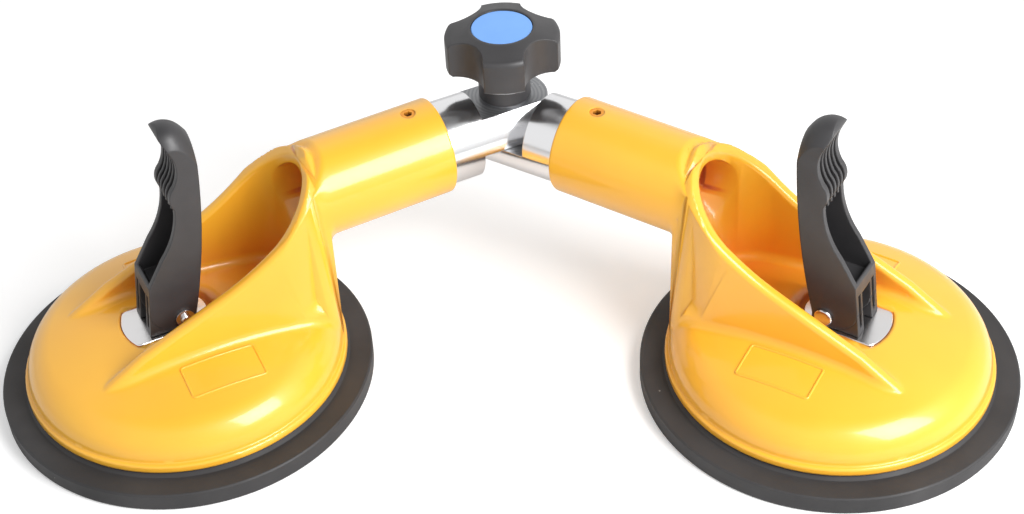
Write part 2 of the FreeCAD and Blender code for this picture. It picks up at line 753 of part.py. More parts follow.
def make_knob_body(label):
    """Four-lobed clamping knob on a round hub, crowned, with a recess for its cap."""
    body = make_body(label)
    crown_foot = "knob_top - knob_crown"
    lobe_foot = "knob_top - knob_crown - knob_lobe"
    section = draw_outline(body, f"{label}_section", "XZ_Plane", [
        ("0", lobe_foot),
        ("knob_reach - 1", lobe_foot),
        ("knob_reach", f"{lobe_foot} + 1"),
        ("knob_reach", f"{crown_foot} - 1.2", "2.2"),
        ("knob_reach - 1.6", f"{crown_foot} + 0.5"),
        ("cap_radius + 0.8", "knob_top"),
        ("0", "knob_top"),
    ])
    spin(body, "Revolution", f"{label}_head", section)
    valley = draw_circle(body, f"{label}_valley_plan", "XY_Plane", "valley_radius",
                         across="valley_place * cos(45deg)", up="valley_place * sin(45deg)",
                         offset="knob_top + 1")
    pocket(body, f"{label}_valley", valley, "knob_crown + knob_lobe + 2")
    first = body.Tip
    lobes = body.newObject("PartDesign::PolarPattern", f"{label}_lobes")
    lobes.Originals = [first]
    lobes.Axis = (valley, ["N_Axis"])
    lobes.Angle = 360.0
    lobes.Occurrences = 4
    body.Tip = lobes
    doc.recompute()
    hub = draw_circle(body, f"{label}_hub_plan", "XY_Plane", "hub_radius",
                      offset="spot_height + 0.05 + washer_thick")
    pad(body, f"{label}_hub", hub, f"{lobe_foot} - spot_height - washer_thick + 1")
    recess = draw_circle(body, f"{label}_recess_plan", "XY_Plane", "cap_radius",
                         offset="knob_top")
    pocket(body, f"{label}_recess", recess, "1.6")
    bore = draw_circle(body, f"{label}_bore_plan", "XY_Plane", "thread_radius",
                       offset="spot_height")
    pocket(body, f"{label}_bore", bore, "14", reverse=True)
    return body


def make_knob_cap(label):
    """Blue plastic disc pressed in the knob's recess."""
    body = make_body(label)
    section = draw_outline(body, f"{label}_section", "XZ_Plane", [
        ("0", "knob_top - 1.6"),
        ("cap_radius - 0.15", "knob_top - 1.6"),
        ("cap_radius - 0.15", "knob_top - 0.5", "0.3"),
        ("cap_radius - 0.45", "knob_top - 0.2"),
        ("0", "knob_top - 0.2"),
    ])
    spin(body, "Revolution", f"{label}_disc", section)
    return body


def make_knob_stud(label):
    """Threaded stud moulded in the knob; it passes the upper lug and screws into
    the lower one."""
    body = make_body(label)
    rim = draw_circle(body, f"{label}_rim", "XY_Plane", "thread_radius",
                      offset="tube_height - stub_radius + 1.2")
    pad(body, f"{label}_shank", rim, "spot_height + 14 - tube_height + stub_radius - 1.2")
    dress(body, "Chamfer", f"{label}_point", 0.8,
          circle_at("thread_radius", "tube_height - stub_radius + 1.2"))
    return body


# ---------------------------------------------------------------- placing and export

HINGE_Y = "(arm_length * cos(half_angle * 1deg) + pad_radius - knob_reach) / 2"
PAD_X = "arm_length * sin(half_angle * 1deg)"
PAD_Y = f"{HINGE_Y} - arm_length * cos(half_angle * 1deg)"


def place(body, across, along, turn):
    """Bind a body's place on the floor and its turn about the vertical."""
    body.Placement = FreeCAD.Placement(
        FreeCAD.Vector(size(across), size(along), 0),
        FreeCAD.Rotation(FreeCAD.Vector(0, 0, 1), size(turn)))
    body.setExpression("Placement.Base.x", bound(across))
    body.setExpression("Placement.Base.y", bound(along))
    body.setExpression("Placement.Rotation.Angle", bound(f"({turn}) * 1deg"))


HEAD_PARTS = {
    "rubber_pad": make_rubber_pad,
    "anchor_disc": make_anchor_disc,
    "pull_stud": make_pull_stud,
    "housing": make_housing,
    "wear_plate": make_wear_plate,
    "lever": make_lever,
    "lever_pin": make_lever_pin,
    "pin_washer": make_pin_washer,
    "set_screw": make_set_screw,
}
KNOB_PARTS = {
    "knob_washer": make_knob_washer,
    "knob_body": make_knob_body,
    "knob_cap": make_knob_cap,
    "knob_stud": make_knob_stud,
}

bodies = []
for hand, across, turn in (("left", f"-{PAD_X}", "90 - half_angle"),
                           ("right", PAD_X, "90 + half_angle")):
    for part_name, maker in HEAD_PARTS.items():
        head_part = maker(f"{hand}_{part_name}")
        place(head_part, across, PAD_Y, turn)
        bodies.append(head_part)
    lap = make_stub(f"{hand}_stub", upper=hand == "left")
    place(lap, across, PAD_Y, turn)
    bodies.append(lap)
for part_name, maker in KNOB_PARTS.items():
    knob_part = maker(part_name)
    place(knob_part, "0", HINGE_Y, "knob_turned")
    bodies.append(knob_part)
doc.recompute()

for item in doc.Objects:
    if "Invalid" in item.State or "Error" in item.State:
        raise RuntimeError(f"{item.Name} failed: {item.State}")
for body in bodies:
    if body.Shape.isNull() or not body.Shape.isValid():
        raise RuntimeError(f"{body.Label} has no valid shape")
    body.Shape.exportStep(f"parts/{body.Label}.step")
    print(f"{body.Label}: {body.Shape.Volume / 1000:.2f} cm3")
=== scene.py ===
"""Twin-cup suction lifter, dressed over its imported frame: cast and enamelled heads,
rubber cups, nylon cam levers, bright bar stubs and a lobed clamping knob."""
import math

import bmesh
import bpy
from mathutils import Matrix, Vector
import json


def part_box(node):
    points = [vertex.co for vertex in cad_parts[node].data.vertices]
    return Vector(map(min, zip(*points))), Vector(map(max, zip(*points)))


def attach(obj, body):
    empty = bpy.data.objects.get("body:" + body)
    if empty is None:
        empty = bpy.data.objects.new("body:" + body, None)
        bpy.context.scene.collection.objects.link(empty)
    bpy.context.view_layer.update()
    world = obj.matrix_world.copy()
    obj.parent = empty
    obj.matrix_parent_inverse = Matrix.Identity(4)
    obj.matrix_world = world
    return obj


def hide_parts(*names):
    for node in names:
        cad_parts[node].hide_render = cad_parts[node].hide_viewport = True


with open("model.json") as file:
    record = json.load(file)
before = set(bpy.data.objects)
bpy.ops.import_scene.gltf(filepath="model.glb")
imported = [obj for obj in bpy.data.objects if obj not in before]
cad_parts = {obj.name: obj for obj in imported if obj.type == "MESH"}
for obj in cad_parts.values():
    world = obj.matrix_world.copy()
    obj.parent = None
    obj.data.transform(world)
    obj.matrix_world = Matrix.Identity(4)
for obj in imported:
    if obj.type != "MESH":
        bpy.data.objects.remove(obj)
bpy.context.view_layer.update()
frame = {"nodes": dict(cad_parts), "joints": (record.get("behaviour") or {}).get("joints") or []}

HEADS = ("left", "right")
joint_at = {joint["name"]: joint["pos_m"] for joint in frame["joints"] if "pos_m" in joint}


# ---------------------------------------------------------------- enamelled castings
# Two heads, sand-cast in aluminium and sprayed orange-yellow. The enamel is glossy with a
# faint orange peel, drifts a little in tone, and has painted shade, redder and deeper, in hollows.

def start_group(name, inputs, outputs):
    """A shader node group with its sockets, and its two ends."""
    group = bpy.data.node_groups.new(name, "ShaderNodeTree")
    for label, kind, value in inputs:
        socket = group.interface.new_socket(label, in_out="INPUT", socket_type=kind)
        if value is not None:
            socket.default_value = value
    for label, kind in outputs:
        group.interface.new_socket(label, in_out="OUTPUT", socket_type=kind)
    return group, group.nodes.new("NodeGroupInput"), group.nodes.new("NodeGroupOutput")


def add(tree, kind, inputs=None, **settings):
    """A node with its properties, and its inputs set or linked."""
    node = tree.nodes.new(kind)
    for key, value in settings.items():
        setattr(node, key, value)
    for key, value in (inputs or {}).items():
        if isinstance(value, bpy.types.NodeSocket):
            tree.links.new(value, node.inputs[key])
        else:
            node.inputs[key].default_value = value
    return node


def blend_colours(tree, share, first, second):
    """The first colour where the share is 0, the second where it is 1."""
    mix = add(tree, "ShaderNodeMix", {"Factor": share, 6: first, 7: second}, data_type="RGBA")
    return mix.outputs[2]


# Broken edges and a fine grain laid over them, as one normal.
soft_edges, given, result = start_group(
    "soft_edges",
    [("Radius", "NodeSocketFloat", 0.0006), ("Grain Scale", "NodeSocketFloat", 900.0),
     ("Grain Depth", "NodeSocketFloat", 0.00002), ("Wave Depth", "NodeSocketFloat", 0.0)],
    [("Normal", "NodeSocketVector"), ("Grain", "NodeSocketFloat")])
place = add(soft_edges, "ShaderNodeTexCoord")
rounded = add(soft_edges, "ShaderNodeBevel", {"Radius": given.outputs["Radius"]}, samples=8)
grain = add(soft_edges, "ShaderNodeTexNoise",
            {"Vector": place.outputs["Object"], "Scale": given.outputs["Grain Scale"],
             "Detail": 3.0, "Roughness": 0.55})
wave = add(soft_edges, "ShaderNodeTexNoise",
           {"Vector": place.outputs["Object"], "Scale": 55.0, "Detail": 1.0})
grained = add(soft_edges, "ShaderNodeBump",
              {"Height": grain.outputs["Fac"], "Distance": given.outputs["Grain Depth"],
               "Normal": rounded.outputs["Normal"]})
waved = add(soft_edges, "ShaderNodeBump",
            {"Height": wave.outputs["Fac"], "Distance": given.outputs["Wave Depth"],
             "Normal": grained.outputs["Normal"]})
soft_edges.links.new(waved.outputs["Normal"], result.inputs["Normal"])
soft_edges.links.new(grain.outputs["Fac"], result.inputs["Grain"])

# Two tones of one colour that drift over the surface.
drifting_tone, given, result = start_group(
    "drifting_tone",
    [("Light", "NodeSocketColor", None), ("Dark", "NodeSocketColor", None),
     ("Scale", "NodeSocketFloat", 30.0)],
    [("Color", "NodeSocketColor")])
place = add(drifting_tone, "ShaderNodeTexCoord")
cloud = add(drifting_tone, "ShaderNodeTexNoise",
            {"Vector": place.outputs["Object"], "Scale": given.outputs["Scale"], "Detail": 4.0})
spread = add(drifting_tone, "ShaderNodeMapRange",
             {"Value": cloud.outputs["Fac"], "From Min": 0.3, "From Max": 0.7})
drifting_tone.links.new(
    blend_colours(drifting_tone, spread.outputs["Result"], given.outputs["Light"],
                  given.outputs["Dark"]),
    result.inputs["Color"])

# How shut in a place is, by ambient occlusion: 0 in the open, 1 deep inside. It paints shade into
# hollows.
shade_in_hollows, given, result = start_group(
    "shade_in_hollows",
    [("Reach", "NodeSocketFloat", 0.02), ("Open", "NodeSocketFloat", 0.9),
     ("Deep", "NodeSocketFloat", 0.3)],
    [("Mask", "NodeSocketFloat")])
shade = add(shade_in_hollows, "ShaderNodeAmbientOcclusion", {"Distance": given.outputs["Reach"]}, samples=8)
depth = add(shade_in_hollows, "ShaderNodeMapRange",
            {"Value": shade.outputs["AO"], "From Min": given.outputs["Open"],
             "From Max": given.outputs["Deep"]})
shade_in_hollows.links.new(depth.outputs["Result"], result.inputs["Mask"])

# Small scattered specks: 1 on a speck, 0 between them.
specks, given, result = start_group(
    "specks",
    [("Scale", "NodeSocketFloat", 200.0), ("Size", "NodeSocketFloat", 0.06),
     ("Rarity", "NodeSocketFloat", 0.5)],
    [("Mask", "NodeSocketFloat")])
place = add(specks, "ShaderNodeTexCoord")
cells = add(specks, "ShaderNodeTexVoronoi",
            {"Vector": place.outputs["Object"], "Scale": given.outputs["Scale"]})
small = add(specks, "ShaderNodeMath", {0: cells.outputs["Distance"], 1: given.outputs["Size"]},
            operation="LESS_THAN")
lot = add(specks, "ShaderNodeSeparateColor", {"Color": cells.outputs["Color"]})
rare = add(specks, "ShaderNodeMath", {0: lot.outputs["Red"], 1: given.outputs["Rarity"]},
           operation="GREATER_THAN")
both = add(specks, "ShaderNodeMath", {0: small.outputs[0], 1: rare.outputs[0]},
           operation="MULTIPLY")
specks.links.new(both.outputs[0], result.inputs["Mask"])


def start_finish(name, edge, grain_scale, grain_depth, wave_depth=0.0, **principled):
    """A material whose Principled node already has broken edges and a grain."""
    material = bpy.data.materials.new(name)
    material.use_nodes = True
    tree = material.node_tree
    shader = tree.nodes["Principled BSDF"]
    for key, value in principled.items():
        shader.inputs[key.replace("_", " ")].default_value = value
    edges = add(tree, "ShaderNodeGroup",
                {"Radius": edge, "Grain Scale": grain_scale, "Grain Depth": grain_depth,
                 "Wave Depth": wave_depth},
                node_tree=soft_edges)
    tree.links.new(edges.outputs["Normal"], shader.inputs["Normal"])
    return material, tree, shader


def dress(material, *names):
    """Gives CAD nodes a finish."""
    for name in names:
        for slot in frame["nodes"][name].material_slots:
            slot.material = material


enamel, tree, shader = start_finish(
    "enamel", 0.0009, 420.0, 0.000014, wave_depth=0.00005,
    Roughness=0.34, Coat_Weight=0.6, Coat_Roughness=0.09)
coat = add(tree, "ShaderNodeGroup",
           {"Light": (0.97, 0.51, 0.035, 1), "Dark": (0.95, 0.455, 0.028, 1), "Scale": 22.0},
           node_tree=drifting_tone)
# painted shade: the coat is blended to a deep red where the occlusion mask finds a hollow
hollow_shade = add(tree, "ShaderNodeGroup", {"Reach": 0.03, "Open": 0.62, "Deep": 0.08},
             node_tree=shade_in_hollows)
pits = add(tree, "ShaderNodeGroup", {"Scale": 130.0, "Size": 0.035, "Rarity": 0.96},
           node_tree=specks)
pitted = blend_colours(
    tree, pits.outputs["Mask"],
    blend_colours(tree, hollow_shade.outputs["Mask"], coat.outputs["Color"], (0.88, 0.20, 0.035, 1)),
    (0.16, 0.05, 0.01, 1))
tree.links.new(pitted, shader.inputs["Base Color"])

# Each head's own axes: its centre on the floor, x along the arm towards the joint.
head_place = {}
for hand in HEADS:
    across = -next(Vector(joint["axis"]) for joint in frame["joints"]
                   if joint["name"] == f"{hand}_lever_fold")
    centre = joint_at[f"{hand}_lever_fold"]
    head_place[hand] = Matrix((
        (across.y, across.x, 0, centre[0]), (-across.x, across.y, 0, centre[1]),
        (0, 0, 1, 0), (0, 0, 0, 1)))

# The hood's plan is a round U with a narrower pillar and the tube behind it. The frame's
# solid is square there, so each casting is dressed by a copy of it that is drawn in to that
# form. The copy's crown keeps folded layers under its surface, so it isn't a clean mesh.
U_MIDDLE = 0.0295
U_RADIUS = 0.0212
TUBE_AXIS = joint_at["arm_swing"][2]
TUBE_RADIUS = 0.016
TUBE_MOUTH = 0.0939
ROOT_BLEND = 0.0035
HOOD_FOOT = 0.0240
HOOD_FREE = 0.0290
HOOD_BACK = 0.060
FLANK_EDGE = (0.0216, 0.0236)
DRAW_STEPS = 14
CLOSE_ENOUGH = 0.00002

# The tube's root sits a little lower than its mouth.
ROOT_DROP = 0.0013
DROP_FROM = 0.034
DROP_FULL = 0.0516
DROP_RISE = (0.027, 0.043)

# The rim's height along its ridge, the roll from the ridge to the outer wall, and the
# distance from the middle over which the rim climbs to the tube.
RIDGE = ((0.0295, 0.0562), (0.0344, 0.0602), (0.0390, 0.0644), (0.0429, 0.0686),
         (0.0460, 0.0716), (0.0479, 0.0742), (0.0485, 0.0760))
RIDGE_RADIUS = 0.0188
RIM_ROLL = 0.0025
ROLL_SHARE = 0.9
RAMP = (0.0200, 0.0240)

# The part of the mesh that is cut finer first, and the part that is smoothed last.
SAME_PLACE = 1e-6
FINE_EDGE = 0.0009
FINE_RANGE = (0.028, 0.062)
FINE_FLOOR = 0.022
SCOOP_RADIUS = 0.0172
CUT_ROUNDS = 8
ROOT_RANGE = (0.032, 0.060)
ROOT_FLOOR = 0.0250
ROOT_OUTSIDE = 0.0200
BORE_OUTSIDE = 0.0150
ROOT_HALF_WIDTH = 0.0220
SHORT_EDGE = 0.0045
SMOOTH_ROUNDS = 8
CREASE = math.radians(32)


def step_between(value, low, high):
    """0 below low, 1 above high, and a smooth rise between."""
    share = min(max((value - low) / (high - low), 0.0), 1.0)
    return share * share * (3 - 2 * share)


def outside_by(x, y, z):
    """How far a point stands outside the round hood joined softly to the pillar and tube."""
    hood = math.hypot(x - U_MIDDLE, y) - U_RADIUS
    tube = (abs(y) if z < TUBE_AXIS else math.hypot(y, z - TUBE_AXIS)) - TUBE_RADIUS
    near = max(ROOT_BLEND - abs(hood - tube), 0.0) / ROOT_BLEND
    return min(hood, tube) - near * near * ROOT_BLEND / 4


def rim_cap(x, y):
    """The highest a point of the rolled rim may stand."""
    out = math.hypot(x - U_MIDDLE, y) or U_RADIUS
    along = min(max(U_MIDDLE + (x - U_MIDDLE) * RIDGE_RADIUS / out, RIDGE[0][0]), RIDGE[-1][0])
    for (near, low), (far, high) in zip(RIDGE, RIDGE[1:]):
        if along <= far:
            break
    height = low + (high - low) * (along - near) / (far - near)
    past = min(max(out - RIDGE_RADIUS, 0.0), RIM_ROLL * ROLL_SHARE)
    rolled = height + math.sqrt(RIM_ROLL**2 - past**2) - RIM_ROLL
    arch = TUBE_AXIS + math.sqrt(max(TUBE_RADIUS**2 - y**2, 0.0))
    return rolled + (max(arch, rolled) - rolled) * step_between(out, *RAMP)


def drawn_in(point):
    """Where a point of the square hood goes on the round one, on the head's own axes."""
    x, y, z = point
    if U_MIDDLE < x < HOOD_BACK and z > HOOD_FOOT:
        goal = Vector((x, y))
        inward = (Vector((U_MIDDLE, 0.0)) - goal).normalized()
        for _ in range(DRAW_STEPS):
            past = outside_by(goal.x, goal.y, z)
            if past <= CLOSE_ENOUGH:
                break
            goal += inward * past
        reach = step_between(z, HOOD_FOOT, HOOD_FREE) * (1 - step_between(abs(y), *FLANK_EDGE))
        x, y = Vector((x, y)).lerp(goal, reach)
        z = min(z, max(rim_cap(x, y), HOOD_FOOT))
    along = step_between(x, DROP_FROM, DROP_FULL) if x < DROP_FULL else (
        max(TUBE_MOUTH - x, 0.0) / (TUBE_MOUTH - DROP_FULL))
    z -= ROOT_DROP * along * step_between(z, *DROP_RISE)
    return Vector((x, y, z))


castings = {}
for hand in HEADS:
    to_head = head_place[hand].inverted()
    shell = bmesh.new()
    shell.from_mesh(frame["nodes"][f"{hand}_housing"].data)
    bmesh.ops.remove_doubles(shell, verts=shell.verts, dist=SAME_PLACE)
    bmesh.ops.transform(shell, matrix=to_head, verts=shell.verts)
    for _ in range(CUT_ROUNDS):
        wide = [edge for edge in shell.edges
                if edge.calc_length() > FINE_EDGE
                and all(FINE_RANGE[0] < end.co.x < FINE_RANGE[1] and end.co.z > FINE_FLOOR
                        and math.hypot(end.co.x - U_MIDDLE, end.co.y) > SCOOP_RADIUS
                        for end in edge.verts)]
        if not wide:
            break
        bmesh.ops.subdivide_edges(shell, edges=wide, cuts=1)
        bmesh.ops.triangulate(shell, faces=[face for face in shell.faces if len(face.verts) > 3])
    for vertex in shell.verts:
        vertex.co = drawn_in(vertex.co)
    root = [vertex for vertex in shell.verts
            if ROOT_RANGE[0] < vertex.co.x < ROOT_RANGE[1] and vertex.co.z > ROOT_FLOOR
            and math.hypot(vertex.co.x - U_MIDDLE, vertex.co.y) > ROOT_OUTSIDE
            and math.hypot(vertex.co.y, vertex.co.z - TUBE_AXIS) > BORE_OUTSIDE
            and abs(vertex.co.y) < ROOT_HALF_WIDTH
            and all(edge.calc_length() < SHORT_EDGE for edge in vertex.link_edges)]
    for _ in range(SMOOTH_ROUNDS):
        bmesh.ops.smooth_vert(shell, verts=root, factor=0.5, use_axis_x=True, use_axis_y=True,
                              use_axis_z=True)
    bmesh.ops.transform(shell, matrix=head_place[hand], verts=shell.verts)
    casting = bpy.data.objects.new(f"{hand}_casting", bpy.data.meshes.new(f"{hand}_casting"))
    shell.to_mesh(casting.data)
    shell.free()
    casting.data.shade_smooth()
    casting.data.set_sharp_from_angle(angle=CREASE)
    casting.data.materials.append(enamel)
    bpy.context.scene.collection.objects.link(casting)
    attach(casting, f"{hand}_head")
    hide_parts(f"{hand}_housing")
    castings[hand] = casting


# ---------------------------------------------------------------- raised frames
# A low half-round bead, cast in one with each head, round an oblong field on both flanks
# of the dome. The fields stay bare.

FRAME_FROM = (-0.0080, 0.0242)
FRAME_TO = (0.0160, 0.0362)
BEAD = 0.00048
BEAD_SINK = 0.00006
ABOVE_DOME = 0.09

bead_tree = bpy.data.node_groups.new("bead_on_surface", "GeometryNodeTree")
for label, kind, value in (
        ("Length", "NodeSocketFloat", 0.024), ("Width", "NodeSocketFloat", 0.012),
        ("Corner", "NodeSocketFloat", 0.0007), ("Step", "NodeSocketFloat", 0.0006),
        ("Bead", "NodeSocketFloat", 0.0005), ("Sink", "NodeSocketFloat", 0.0001),
        ("Place", "NodeSocketVector", None), ("Turn", "NodeSocketRotation", None),
        ("Surface", "NodeSocketObject", None), ("Finish", "NodeSocketMaterial", None)):
    socket = bead_tree.interface.new_socket(label, in_out="INPUT", socket_type=kind)
    if value is not None:
        socket.default_value = value
bead_tree.interface.new_socket("Mesh", in_out="OUTPUT", socket_type="NodeSocketGeometry")
sizes = bead_tree.nodes.new("NodeGroupInput").outputs
oblong = add(bead_tree, "GeometryNodeCurvePrimitiveQuadrilateral",
             {"Width": sizes["Length"], "Height": sizes["Width"]})
cornered = add(bead_tree, "GeometryNodeFilletCurve",
               {"Curve": oblong.outputs["Curve"], "Radius": sizes["Corner"]}, mode="POLY")
cornered.inputs["Count"].default_value = 4
stepped = add(bead_tree, "GeometryNodeResampleCurve",
              {"Curve": cornered.outputs["Curve"], "Length": sizes["Step"]}, mode="LENGTH")
turned = add(bead_tree, "GeometryNodeTransform",
             {"Geometry": stepped.outputs["Curve"], "Translation": sizes["Place"],
              "Rotation": sizes["Turn"]})
ground = add(bead_tree, "GeometryNodeObjectInfo", {"Object": sizes["Surface"]})
drop = add(bead_tree, "GeometryNodeRaycast",
           {"Target Geometry": ground.outputs["Geometry"], "Ray Direction": (0, 0, -1),
            "Ray Length": 0.1})
sunk = add(bead_tree, "ShaderNodeVectorMath", {0: (0, 0, -1), "Scale": sizes["Sink"]},
           operation="SCALE")
laid = add(bead_tree, "ShaderNodeVectorMath",
           {0: drop.outputs["Hit Position"], 1: sunk.outputs["Vector"]}, operation="ADD")
draped = add(bead_tree, "GeometryNodeSetPosition",
             {"Geometry": turned.outputs["Geometry"], "Position": laid.outputs["Vector"]})
section = add(bead_tree, "GeometryNodeCurvePrimitiveCircle",
              {"Resolution": 12, "Radius": sizes["Bead"]})
swept = add(bead_tree, "GeometryNodeCurveToMesh",
            {"Curve": draped.outputs["Geometry"], "Profile Curve": section.outputs["Curve"]})
smooth = add(bead_tree, "GeometryNodeSetShadeSmooth", {"Geometry": swept.outputs["Mesh"]})
real = add(bead_tree, "GeometryNodeRealizeInstances", {"Geometry": smooth.outputs["Geometry"]})
coated = add(bead_tree, "GeometryNodeSetMaterial",
             {"Geometry": real.outputs["Geometry"], "Material": sizes["Finish"]})
bead_end = bead_tree.nodes.new("NodeGroupOutput")
bead_tree.links.new(coated.outputs["Geometry"], bead_end.inputs["Mesh"])


def grow(name, tree, values):
    """A plain mesh object from a geometry node tree and its named inputs."""
    holder = bpy.data.objects.new(name + "_holder", bpy.data.meshes.new(name + "_holder"))
    bpy.context.scene.collection.objects.link(holder)
    modifier = holder.modifiers.new("grown", "NODES")
    modifier.node_group = tree
    for item in tree.interface.items_tree:
        if item.item_type == "SOCKET" and item.in_out == "INPUT" and item.name in values:
            modifier[item.identifier] = values[item.name]
    bpy.context.view_layer.update()
    settled = holder.evaluated_get(bpy.context.evaluated_depsgraph_get())
    mesh = bpy.data.meshes.new_from_object(settled)
    bpy.data.objects.remove(holder)
    piece = bpy.data.objects.new(name, mesh)
    bpy.context.scene.collection.objects.link(piece)
    return piece


def join(name, pieces):
    """Several objects as one, under a name."""
    whole = bmesh.new()
    for piece in pieces:
        whole.from_mesh(piece.data)
    mesh = bpy.data.meshes.new(name)
    whole.to_mesh(mesh)
    whole.free()
    for material in pieces[0].data.materials:
        mesh.materials.append(material)
    for piece in pieces:
        bpy.data.objects.remove(piece)
    joined = bpy.data.objects.new(name, mesh)
    bpy.context.scene.collection.objects.link(joined)
    return joined


for hand in HEADS:
    turn = head_place[hand].to_euler()
    frames = []
    for side in (-1, 1):
        middle = Vector(((FRAME_FROM[0] + FRAME_TO[0]) / 2,
                         side * (FRAME_FROM[1] + FRAME_TO[1]) / 2, ABOVE_DOME))
        frames.append(grow(f"{hand}_frame_{side}", bead_tree, {
            "Length": FRAME_TO[0] - FRAME_FROM[0], "Width": FRAME_TO[1] - FRAME_FROM[1],
            "Bead": BEAD, "Sink": BEAD_SINK, "Place": head_place[hand] @ middle,
            "Turn": turn, "Surface": castings[hand], "Finish": enamel}))
    raised = join(f"{hand}_raised_frames", frames)
    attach(raised, f"{hand}_head")


# ---------------------------------------------------------------- set screws
# A grub screw in the top of each tube holds the bar. It was sprayed with the casting; its
# socket and the gap round it are darkened with painted shade.

painted_screw, tree, shader = start_finish(
    "painted_screw", 0.0002, 700.0, 0.00001, Roughness=0.4)
# painted shade: the socket and the gap round the screw are darkened by occlusion
socket = add(tree, "ShaderNodeGroup", {"Reach": 0.0022, "Open": 0.8, "Deep": 0.35},
             node_tree=shade_in_hollows)
sprayed = add(tree, "ShaderNodeGroup",
              {"Light": (0.86, 0.36, 0.03, 1), "Dark": (0.70, 0.26, 0.02, 1), "Scale": 500.0},
              node_tree=drifting_tone)
tree.links.new(
    blend_colours(tree, socket.outputs["Mask"], sprayed.outputs["Color"],
                  (0.12, 0.035, 0.012, 1)),
    shader.inputs["Base Color"])
dress(painted_screw, *(f"{hand}_set_screw" for hand in HEADS))


# ---------------------------------------------------------------- rubber cups
# Two moulded discs of black rubber: matt with a fine grain, a grey bloom in patches and a
# few specks of dust.

rubber, tree, shader = start_finish(
    "rubber", 0.0005, 1500.0, 0.00002, Roughness=0.58, Specular_IOR_Level=0.42)
bloom = add(tree, "ShaderNodeGroup",
            {"Light": (0.027, 0.026, 0.027, 1), "Dark": (0.046, 0.044, 0.045, 1),
             "Scale": 38.0},
            node_tree=drifting_tone)
dust = add(tree, "ShaderNodeGroup", {"Scale": 240.0, "Size": 0.07, "Rarity": 0.93},
           node_tree=specks)
tree.links.new(
    blend_colours(tree, dust.outputs["Mask"], bloom.outputs["Color"], (0.26, 0.26, 0.25, 1)),
    shader.inputs["Base Color"])
patch = add(tree, "ShaderNodeTexNoise", {"Scale": 60.0, "Detail": 2.0})
satin = add(tree, "ShaderNodeMapRange",
            {"Value": patch.outputs["Fac"], "From Min": 0.3, "From Max": 0.7, "To Min": 0.5,
             "To Max": 0.66})
tree.links.new(satin.outputs["Result"], shader.inputs["Roughness"])
place = add(tree, "ShaderNodeTexCoord")
tree.links.new(place.outputs["Object"], patch.inputs["Vector"])
dress(rubber, *(f"{hand}_rubber_pad" for hand in HEADS))


# ---------------------------------------------------------------- bright steel
# Plates, pull studs, anchor discs, pins and washers: cold-drawn or stamped steel, plated
# bright, with hairlines from handling.

steel, tree, shader = start_finish(
    "bright_steel", 0.0002, 2600.0, 0.000003, Metallic=1.0, Roughness=0.16,
    Base_Color=(0.72, 0.71, 0.71, 1))
place = add(tree, "ShaderNodeTexCoord")
stretched = add(tree, "ShaderNodeMapping",
                {"Vector": place.outputs["Object"], "Scale": (40.0, 900.0, 900.0)})
hairline = add(tree, "ShaderNodeTexNoise",
               {"Vector": stretched.outputs["Vector"], "Scale": 6.0, "Detail": 3.0})
worn = add(tree, "ShaderNodeMapRange",
           {"Value": hairline.outputs["Fac"], "To Min": 0.1, "To Max": 0.32})
tree.links.new(worn.outputs["Result"], shader.inputs["Roughness"])
dress(steel, "knob_stud",
      *(f"{hand}_{name}" for hand in HEADS
        for name in ("wear_plate", "pull_stud", "anchor_disc", "lever_pin", "pin_washer")))
